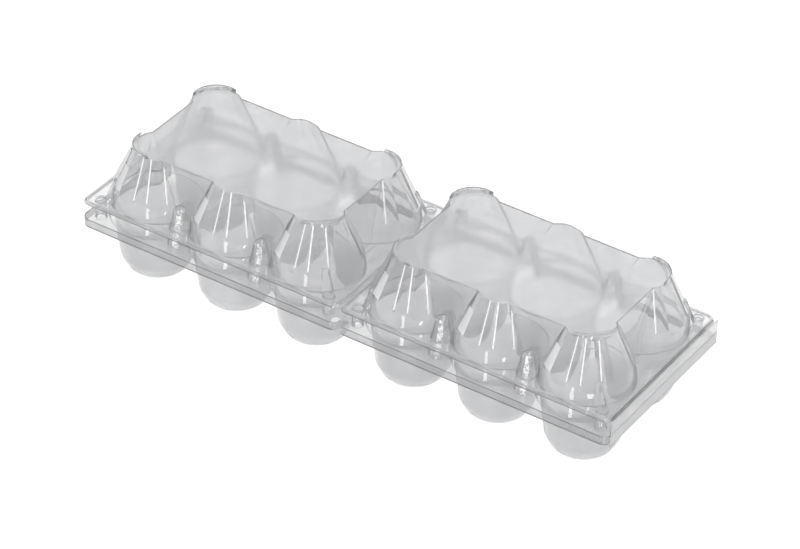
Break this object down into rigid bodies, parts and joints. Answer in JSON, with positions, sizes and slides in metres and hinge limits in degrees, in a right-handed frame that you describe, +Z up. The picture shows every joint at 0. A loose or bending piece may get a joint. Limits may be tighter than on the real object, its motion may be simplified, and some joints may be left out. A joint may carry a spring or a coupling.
{
  "type": "clear folding egg carton",
  "caption": "Clear moulded plastic egg carton, closed: a long tray of egg cups, a lid of egg domes with flat tops, and a folding panel that hinges them at one end",
  "frame": {"origin": "on the ground under the middle of the closed carton", "axes": "+X along the length towards the hinged end, +Y to the back, +Z up"},
  "size_m": [0.3, 0.1, 0.0723],
  "materials": {
    "clear_sheet": "clear gloss"
  },
  "bodies": {
    "tray": {"base_tray": "clear_sheet"},
    "panel": {"hinge_panel": "clear_sheet"},
    "lid": {"lid": "clear_sheet"}
  },
  "joints": [
    {"name": "panel_fold", "type": "hinge", "parent": "tray", "child": "panel", "pos_m": [0.14975, 0, 0.02765], "axis": [0, 1, 0], "range_deg": [0, 90]},
    {"name": "lid_fold", "type": "hinge", "parent": "panel", "child": "lid", "pos_m": [0.14975, 0, 0.04075], "axis": [0, 1, 0], "range_deg": [0, 80]}
  ]
}
